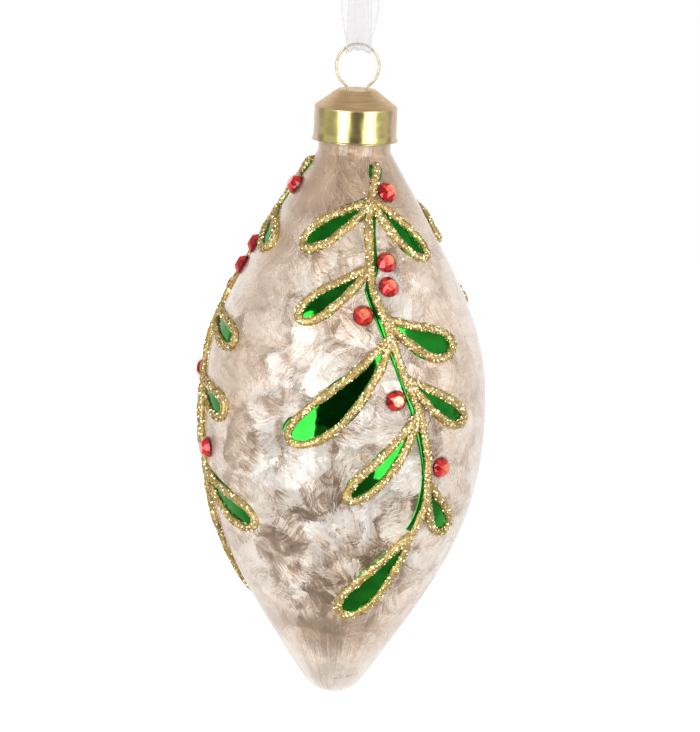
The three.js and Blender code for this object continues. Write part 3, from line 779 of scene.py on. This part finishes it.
def knot_turn():
    """The turn that crosses the lump: a rounded band carried round it, leaning as an overhand knot's does."""
    rows, columns = 60, 20
    around = circle(rows)[:, None]
    angle = circle(columns)
    band = KNOT.band * (1 + KNOT.turn_ripple * np.cos(angle * KNOT.turn_ripples))
    reach = 1 + band / KNOT.half_height * np.cos(angle)
    y = (KNOT.half_depth - KNOT.band / 2) * reach * np.cos(around)
    z = (KNOT.half_height - KNOT.band / 2) * reach * np.sin(around)
    x = KNOT.turn_width * band * np.sin(angle)
    faces = grid_faces(rows + 1, columns) % (rows * columns)
    return leaning(x, y, z, KNOT.tail_lean), [faces], stacked(x, KNOT.half_height * around)


def ribbon_knot():
    """The knot's lump, turn and two tails in one piece."""
    parts = [knot_lump(), knot_turn(), knot_tail(-1), knot_tail(1)]
    points, faces = joined([part[:2] for part in parts])
    base = ring_top + RIBBON_LEG[-1][1] + KNOT.seat + KNOT.half_height
    return surface("ribbon_knot_cloth", points + (0, 0, base), faces, ORGANZA, "ribbon",
                   "ribbon_knot", uv=np.concatenate([uv.reshape(-1, 2) for _, _, uv in parts]))


ribbon_strip(ribbon_knot())

# Glass


def glass_shell():
    """The blown shell: its outer profile, a neck with a rounded lip, and an inner wall a wall's width in."""
    underside = cap_shoulder - CAP.wall * math.hypot(1, cap_slope)
    neck_top = underside + (CAP.band_radius - GLASS.neck_radius) * cap_slope - GLASS.neck_clearance
    neck_start = GLASS.shoulder_height + GLASS.neck_blend
    pulls = [(GLASS.neck_radius, neck_start - share * GLASS.neck_blend) for share in GLASS.neck_pulls]
    blend = bezier(glass_line[-1], *pulls, 8)
    outside = np.concatenate([evenly(glass_line, 170), blend[1:],
                              [(GLASS.neck_radius, neck_top - GLASS.wall / 2)]])
    way = directions(outside)
    inside = (outside + GLASS.wall * stacked(-way[:, 1], way[:, 0]))[::-3]
    inside[-1] = (0, GLASS.wall)
    turn = np.linspace(0, math.pi, 9)[1:-1]
    lip_middle = GLASS.neck_radius - GLASS.wall / 2
    lip = stacked(lip_middle + GLASS.wall / 2 * np.cos(turn), neck_top - GLASS.wall / 2 * (1 - np.sin(turn)))
    profile = np.concatenate([outside, lip, inside])
    profile[[0, -1], 0] = POLE
    sides = 224
    surface("glass_shell", turned(profile, sides), capped_faces(len(profile), sides), FROSTED_GLASS, "glass",
            "glass_body")


glass_shell()

# Cap and ring


def cap_profile(inset):
    """The cap's section drawn in by an inset: flat top, cone, rounded shoulder, band and flared rim."""
    top = cap_top - inset
    band = CAP.band_radius - inset
    top_radius = CAP.top_radius - inset * (math.hypot(1, cap_slope) - 1) / cap_slope
    shoulder = top - (band - top_radius) * cap_slope
    cone = np.array([band - top_radius, shoulder - top])
    cone *= CAP.edge / np.linalg.norm(cone)
    top_corner = np.array([top_radius, top])
    low_corner = np.array([band, shoulder])
    flare = bezier((band, cap_rim + 2 * CAP.rim_height), (band, cap_rim + CAP.rim_height),
                   (band + CAP.flare_out, cap_rim + CAP.flare_up), (CAP.rim_radius - inset, cap_rim), 10)
    round_top = bezier(top_corner - (CAP.edge, 0), top_corner, top_corner, top_corner + cone, 7)
    round_low = bezier(low_corner - cone, low_corner, low_corner, low_corner - (0, CAP.edge), 9)
    middle = np.linspace(round_low[-1], flare[0], 6)[1:-1]
    cone_line = np.linspace(round_top[-1], round_low[0], 6)[1:-1]
    return np.concatenate([[(POLE, top)], round_top, cone_line, round_low, middle, flare])


def cap_shell():
    """The stamped shell turned from its section. The wire fills the holes in its top, so they aren't cut."""
    profile = np.concatenate([cap_profile(0), cap_profile(CAP.wall)[::-1]])[::-1]
    sides = 192
    surface("cap_shell", turned(profile, sides), capped_faces(len(profile), sides), CAP_GOLD, "cap",
            "metal_cap")


def ring_wire():
    """A round wire: up one spring leg in the neck, round the ring and down the other leg."""
    entry = math.acos(WIRE.hole_offset / WIRE.half_width)
    centre = cap_top + WIRE.straight / 2 + WIRE.half_height * math.sin(entry)
    spread = GLASS.neck_radius - GLASS.wall - WIRE.radius - WIRE.leg_clearance
    leg = [(WIRE.hole_offset, cap_top + WIRE.straight / 4), (WIRE.hole_offset, cap_top - WIRE.straight)]
    stretch = WIRE.leg_length / len(WIRE.leg_bends)
    leg += [(WIRE.hole_offset + (spread - WIRE.hole_offset) * share, cap_top - i * stretch)
            for i, share in enumerate(WIRE.leg_bends, 1)]
    angle = np.linspace(-entry + WIRE.entry_bend, math.pi + entry - WIRE.entry_bend, 15)
    arc = stacked(WIRE.half_width * np.cos(angle), centre + WIRE.half_height * np.sin(angle))
    flat = np.concatenate([leg[::-1], arc, [(-x, z) for x, z in leg]])
    rows, sides = 320, 14
    line = evenly(curve_through(stacked(flat[:, 0], 0, flat[:, 1]), 1500, 0.5), rows)
    way = directions(line)
    across = unit(np.cross(way, (0, 1, 0)))
    points = line[:, None] + WIRE.radius * ring_of(circle(sides), across, np.cross(way, across))
    surface("ring_wire", points, capped_faces(rows, sides), WIRE_GOLD, "cap", "hanger_wire")


cap_shell()
ring_wire()

# Sprigs

stem_curve = curve_through(STEM, 400, 0)


def stem_azimuth(station):
    return np.interp(-np.asarray(station), -stem_curve[:, 1], stem_curve[:, 0])


def leaf_edge(shape, u):
    """A leaf in its own plane: x runs from base to tip as sin(u pi/2). y, half its width, is x to the power
    swell times the square root of 1 less x to the power round, and lies on the other side past u = 1."""
    x = np.sin(u * math.pi / 2)
    peak = (LEAF_SWELL / (LEAF_SWELL + LEAF_ROUND / 2)) ** (1 / LEAF_ROUND)
    top = peak**LEAF_SWELL * math.sqrt(1 - peak**LEAF_ROUND)
    half = shape.width / 2 * x**LEAF_SWELL * np.sqrt(np.maximum(1 - x**LEAF_ROUND, 0)) / top
    return x * shape.length, np.where(u > 1, -half, half)


def leaf_on_glass(shape, x, y, turn):
    """Carries points of a leaf's plane onto the glass: x is walked in short steps that droop from the stem,
    and y is laid off square to that walk, with the leaf's bow."""
    droop = shape.droop * DEGREE
    stretch = x / LEAF_STEPS
    share = x / shape.length
    aside = y + 4 * shape.bow * share * (1 - share)
    run = shape.station * FULL_RUN + 0 * x
    azimuth = turn + stem_azimuth(shape.station) + 0 * x
    for _ in range(LEAF_STEPS):
        run = run - stretch / 2 * math.sin(droop)
        azimuth = azimuth + shape.side * stretch * math.cos(droop) / radius_at(run) / DEGREE
        run = run - stretch / 2 * math.sin(droop)
    azimuth = azimuth + shape.side * aside * math.sin(droop) / radius_at(run) / DEGREE
    return azimuth, run + aside * math.cos(droop)


def sideways(azimuth, run):
    """For each place of a route on the glass, how azimuth and run change for a millimetre to its left."""
    around = np.gradient(azimuth) * DEGREE * radius_at(run)
    along = np.gradient(run)
    size = np.hypot(around, along)
    return -along / size / radius_at(run) / DEGREE, around / size


def resampled(azimuth, run):
    """A route on the glass again, with places about a step apart."""
    points = on_glass(azimuth, run, 0 * run)
    along = run_along(points)
    at = np.linspace(0, along[-1], max(int(along[-1] / BEAD.step), BEAD.least_places))
    return np.interp(at, along, azimuth), np.interp(at, along, run), at


def bead(azimuth, run, rng, taper):
    """A squeezed line of glitter paste on the glass: a half-round section carried along a route, with a width
    that wavers as a hand's does, and with ends that taper over a distance."""
    azimuth, run, at = resampled(azimuth, run)
    count = len(at)
    wavers, drifts = (
        smooth_noise(rng, count, max(int(at[-1] / length), BEAD.least_knots))
        for length in (BEAD.waver_length, BEAD.drift_length))
    width, drift = 1 + BEAD.waver * wavers, BEAD.drift * drifts
    ends = np.sqrt(np.clip(np.minimum(at, at[-1] - at) / taper, BEAD.blunt, 1))
    to_azimuth, to_run = sideways(azimuth, run)
    angle = np.linspace(0, math.pi, 9)
    foot = BEAD.width / 2 * (width * ends)[:, None] * np.cos(angle) + drift[:, None]
    lift = BEAD.height * (width * ends)[:, None] * np.sin(angle) ** BEAD.roundness - SINK
    azimuths = azimuth[:, None] + foot * to_azimuth[:, None]
    return on_glass(azimuths, run[:, None] + foot * to_run[:, None], lift)


def flakes(rng, beads):
    """Random places on the beads with the way out there, and strays that slipped off them. A place stays
    just short of the last row and column."""
    centres, normals, short = [], [], 1.001
    for grid in beads:
        length = run_along(grid[:, grid.shape[1] // 2])[-1]
        count = int(length * FLAKE.each_mm)
        i, j = (rng.uniform(0, size - short, count) for size in grid.shape[:2])
        i0, j0 = i.astype(int), j.astype(int)
        u, v = (i - i0)[:, None], (j - j0)[:, None]
        a, b, c, d = grid[i0, j0], grid[i0 + 1, j0], grid[i0 + 1, j0 + 1], grid[i0, j0 + 1]
        normal = unit(np.cross(c - a, d - b))
        outward = (normal * (a + c) * (1, 1, 0)).sum(1)[:, None] > 0
        centres.append((1 - u) * (1 - v) * a + u * (1 - v) * b + u * v * c + (1 - u) * v * d)
        normals.append(np.where(outward, normal, -normal))
    centre, normal = np.concatenate(centres), np.concatenate(normals)
    stray = rng.choice(len(centre), int(FLAKE.strays * len(centre)))
    slip = rng.normal(0, FLAKE.slip, (len(stray), 3))
    slip -= (slip * normal[stray]).sum(1)[:, None] * normal[stray]
    return centre, normal, centre[stray] + slip


def flake_mesh(rng, centre, normal):
    """Six-sided plates that lean off their normals: each corner is its centre plus the plate's two axes times
    the cosine and sine of its angle."""
    count = len(centre)
    lean = unit(normal + rng.normal(0, FLAKE.lean, (count, 3)))
    spin = unit(np.cross(lean, rng.normal(0, 1, (count, 3))))
    size = rng.uniform(FLAKE.least, FLAKE.most, count)[:, None, None] * FLAKE.radius
    corners = centre[:, None] + size * ring_of(circle(6), spin, np.cross(lean, spin))
    return corners, np.arange(count * 6).reshape(-1, 6)


def nearest_on_glass(points):
    """The azimuth and run on the glass at the height and azimuth of points just off it."""
    run = np.interp(points[:, 2], glass_line[:, 1], glass_run)
    return np.arctan2(points[:, 0], -points[:, 1]) / DEGREE, run


def glitter(name, beads, rng):
    """The glitter lines of one sprig: their paste, and the flakes on it and strewn beside it."""
    points, faces = joined([(grid, capped_faces(*grid.shape[:2])) for grid in beads])
    surface(f"{name}_glitter_line", points, faces, GLITTER_BED, "glass",
            f"{name}_glitter_outline")
    centre, normal, stray = flakes(rng, beads)
    azimuth, run = nearest_on_glass(stray)
    strewn = on_glass(azimuth, run, np.full(len(run), FLAKE.stray_lift))
    centre = np.concatenate([centre + FLAKE.lift * normal, strewn])
    normal = np.concatenate([normal, outward_at(azimuth, run)])
    corners, plates = flake_mesh(rng, centre, normal)
    surface(f"{name}_glitter_flakes", corners, [plates], GLITTER_FLAKE, "glass", smooth=False)


def lacquer_film(name, place, rows, columns, node=None):
    """A film of lacquer: rows along it and columns across it, level but for its rounded edges."""
    along = np.linspace(0, 1, rows)
    across = np.linspace(-1, 1, columns)
    azimuth, run = place(along[:, None], across[None])
    edge = smoothstep(1 - np.abs(across), *LACQUER.rounding)
    rise = LACQUER.thickness * np.tile(edge, (rows, 1))
    top = on_glass(azimuth, run, rise)
    back = on_glass(azimuth, run, 0 * rise - SINK)
    points = np.concatenate([top, back[:, ::-1]], axis=1)
    surface(name, points, capped_faces(rows, 2 * columns), GREEN_LACQUER, "glass", node)


def leaf_lacquer(name, shape, turn, rng):
    """The lacquer of one leaf, which runs under its glitter line and shows beyond it in places."""
    rows = 60
    spill = LACQUER.spill + LACQUER.spill_waver * smooth_noise(rng, rows, 7)[:, None]

    def place(along, across):
        x, half = leaf_edge(shape, along * LACQUER.covers + LACQUER.start)
        half = half + np.minimum(spill, LACQUER.most_spill * half)
        return leaf_on_glass(shape, x + 0 * across, half * across, turn)

    lacquer_film(f"{name}_lacquer", place, rows, 17, name)


def stem_paint(name, turn, rng):
    """The thin green stroke under the stem's glitter line, which strays out from one side of it to the other
    and ends above it in a blob."""

    def place(along, across):
        station = PAINT.top - (PAINT.top - PAINT.bottom) * along
        azimuth, run = turn + stem_azimuth(station), station * FULL_RUN
        to_azimuth, to_run = sideways(azimuth[:, 0], run[:, 0])
        drift = np.interp(station, PAINT.drift_at, PAINT.drift)
        waver = PAINT.waver * smooth_noise(rng, len(along), 12)[:, None]
        half = PAINT.half + waver + PAINT.blob * smoothstep(station, PAINT.blob_from, PAINT.blob_to)
        aside = drift + half * across
        return azimuth + aside * to_azimuth[:, None], run + aside * to_run[:, None]

    lacquer_film(f"{name}_stem_paint", place, 160, 7)


def stray_dab():
    """The dab of green beside the tip of the front sprig's longest leaf, where the brush was lifted."""
    longest = LEAVES[4]

    def place(along, across):
        half = DAB.half * np.sqrt(np.sin(math.pi * (DAB.start + DAB.covers * along)))
        x = longest.length - DAB.before_tip + DAB.length * along
        return leaf_on_glass(longest, x + 0 * across, DAB.aside - DAB.slant * along + half * across, 0)

    lacquer_film("front_leaf_5_dab", place, 24, 9)


def stone_cut():
    """A flat-backed stone: girdle rings of 16, a ring of 8 part way up and a table of 8, joined by facets.
    Gives its points about its own foot, its faces and a mark for each face: how bright an inner reflection is
    painted on it, highest on the two halves of the table, which carry a painted highlight."""
    def ring(radius, count, z, turn=0.0):
        angle = (np.arange(count) + turn) * 2 * math.pi / count
        return stacked(radius * np.cos(angle), radius * np.sin(angle), z)

    outer = STONE.diameter / 2
    points = np.concatenate([
        ring(outer * STONE.foot, 16, 0), ring(outer, 16, STONE.girdle * STONE.foot_height),
        ring(outer, 16, STONE.girdle), ring(outer * STONE.crown, 8, STONE.height * STONE.crown_height, 0.5),
        ring(STONE.table / 2, 8, STONE.height)])
    girdle, mid, top = 32, 48, 56
    i = np.arange(8)
    after = (i + 1) % 8
    low, between, high = girdle + 2 * i, girdle + 2 * i + 1, girdle + (2 * i + 2) % 16
    halves = top + np.array([[0, 1, 2, 3, 4], [4, 5, 6, 7, 0]])
    triangles = np.concatenate([
        stacked(low, between, mid + i), stacked(between, high, mid + i),
        stacked(mid + i, top + after, top + i)])
    kites = stacked(high, mid + after, top + after, mid + i)
    sides = grid_faces(3, 16)
    faces = [triangles, kites, sides, np.arange(16)[None, ::-1], halves]
    # Painted light for each face: how bright an inner reflection it shows; the table's two halves, last,
    # carry the painted highlight
    marks = np.concatenate([
        np.tile([0.35, 0.1, 0.25, 0.0], 2), np.tile([0.05, 0.4, 0.15, 0.3], 2), np.tile([0.8, 0.45], 4),
        np.tile([0.2, 0.5, 0.3, 0.6], 2), np.full(len(sides), 0.05), [0.0], [1.0, 0.9]])
    return points, faces, marks


CUT_POINTS, CUT_FACES, PAINTED_FACET_MARKS = stone_cut()


def stone(name, station, side, away, turn, spin):
    """One stone set flat on the glass beside the stem, turned by its own spin, which also sets where its
    painted table highlight lies.
    """
    run = station * FULL_RUN
    reach = side * (BEAD.width / 2 + STONE.diameter / 2 + STONE.gap + away)
    azimuth = turn + stem_azimuth(station) + reach / radius_at(run) / DEGREE
    foot = on_glass(azimuth, run, np.array(-SINK))
    out = outward_at(azimuth, run)
    level = np.array([math.cos(azimuth * DEGREE), math.sin(azimuth * DEGREE), 0])
    other = np.cross(out, level)
    x = level * math.cos(spin) + other * math.sin(spin)
    y = other * math.cos(spin) - level * math.sin(spin)
    points = foot + CUT_POINTS @ np.stack([x, y, out])
    surface(f"{name}_cut", points, CUT_FACES, RED_STONE, "glass", name, smooth=False,
            marks=PAINTED_FACET_MARKS)


def sprig(name, turn, changes, rng):
    """One painted sprig: stem, leaves with their glitter lines, green under-strokes and stones."""
    stem = evenly(stem_curve, 300)
    beads = [bead(turn + stem[:, 0], stem[:, 1] * FULL_RUN, rng, BEAD.stem_taper)]
    for i, shape in enumerate(LEAVES):
        shape = changes.get(i, shape)
        x, y = leaf_edge(shape, np.linspace(0, 2, 161))
        azimuth, run = leaf_on_glass(shape, x, y, turn)
        beads.append(bead(azimuth, run, rng, BEAD.leaf_taper))
        leaf_lacquer(f"{name}_leaf_{i + 1}", shape, turn, rng)
    glitter(name, beads, rng)
    stem_paint(name, turn, rng)
    for i, (station, side, away) in enumerate(STONES):
        stone(f"{name}_stone_{i + 1}", station, side, away, turn, rng.uniform(*STONE.spin))


stray_dab()
for seed, (sprig_name, sprig_turn, sprig_changes) in enumerate(SPRIGS, FIRST_SEED):
    sprig(sprig_name, sprig_turn, sprig_changes, np.random.default_rng(seed))

# Floor, lamps and surroundings

STUDIO = Sizes(
    floor_drop=600, floor_size=9000, behind=(-200, 600), glow=0.95, behind_glow=0.4, lamp_distance=1000,
    above=(0.45, 0.85), warm=0.16, warm_side=(50, 95), warm_to=121,
)
# Azimuth in degrees and brightness of the tent's walls
WALLS = [(-180, 1.0), (-126, 1.0), (-120, 0.4), (-98, 0.4), (-94, 0.8), (-60, 0.6), (-52, 0.06), (-20, 0.05),
         (30, 0.05), (52, 0.45), (60, 0.8), (98, 0.8), (102, 0.4), (116, 0.4), (122, 1.0), (180, 1.0)]


def seen_directly(rays):
    """1 for rays that come from the camera, straight or through the ribbon."""
    return maths("MAXIMUM", rays["Is Camera Ray"], rays["Is Transmission Ray"])


def make_floor():
    """A pale floor under the hanging ornament, a little lifted for the camera so that it reads as white.
    Mirrors see it dimmer, as they see the front of the tent."""
    made, tree, shader = material("floor", Roughness=0.9, Emission_Color=(1, 1, 1, 1))
    rays = add(tree, "ShaderNodeLightPath").outputs
    glossy = rays["Is Glossy Ray"]
    behind = ranged(parts_of(millimetres(tree))[1], *STUDIO.behind)
    mirrored = blended(behind, "#b8ab9f", "#ffffff")
    glow = maths("MAXIMUM", seen_directly(rays), times(glossy, times(behind, STUDIO.behind_glow)))
    feed(shader, {"Base Color": blended(glossy, "#f2f2f2", mirrored),
                  "Emission Strength": times(glow, STUDIO.glow)})
    half = STUDIO.floor_size / 2
    corners = [(-half, -half), (half, -half), (half, half), (-half, half)]
    mesh = bpy.data.meshes.new("floor")
    points = put_in_frame([(x, y, -STUDIO.floor_drop) for x, y in corners])
    mesh.from_pydata(points.tolist(), [], [(0, 1, 2, 3)])
    mesh.materials.append(made)
    added("floor", mesh)


def softbox(name, azimuth, elevation, width, height, radiance):
    """A soft lamp round the belly and facing it. Its watts come from its radiance."""
    data = bpy.data.lights.new(name, "AREA")
    data.shape = "RECTANGLE"
    data.size, data.size_y = width * MM, height * MM
    data.energy = radiance * math.pi * data.size * data.size_y
    stand_back(added(name, data), (0, 0, GLASS.belly_height), azimuth, elevation, STUDIO.lamp_distance)


def make_world():
    """A white tent. Its mirror image is dark in front, warm at its sides and dimmer above."""
    world = bpy.data.worlds.new("studio")
    bpy.context.scene.world = world
    world.use_nodes = True
    tree = world.node_tree
    way = add(tree, "ShaderNodeTexCoord").outputs["Generated"]
    share = ranged(azimuth_of(way), -math.pi, math.pi, smooth=False)
    stops = []
    for degrees, level in WALLS:
        warm = STUDIO.warm * smoothstep(abs(degrees), *STUDIO.warm_side) * (abs(degrees) < STUDIO.warm_to)
        stops.append(((degrees + 180) / 360, (level, level * (1 - warm / 2), level * (1 - warm), 1)))
    above = ranged(parts_of(way)[2], *STUDIO.above)
    mirrored = blended(above, colour_ramp(share, stops), (0.5, 0.45, 0.4, 1))
    rays = add(tree, "ShaderNodeLightPath").outputs
    tent = blended(rays["Is Glossy Ray"], (0.5, 0.49, 0.48, 1), mirrored)
    feed(tree.nodes["Background"], {"Color": blended(seen_directly(rays), tent, (1, 1, 1, 1))})


make_floor()
softbox("left_softbox", azimuth=-35, elevation=4, width=480, height=1250, radiance=4.8)
softbox("right_softbox", azimuth=42, elevation=6, width=560, height=1150, radiance=3.9)
make_world()
bpy.context.scene.view_settings.view_transform = "Standard"
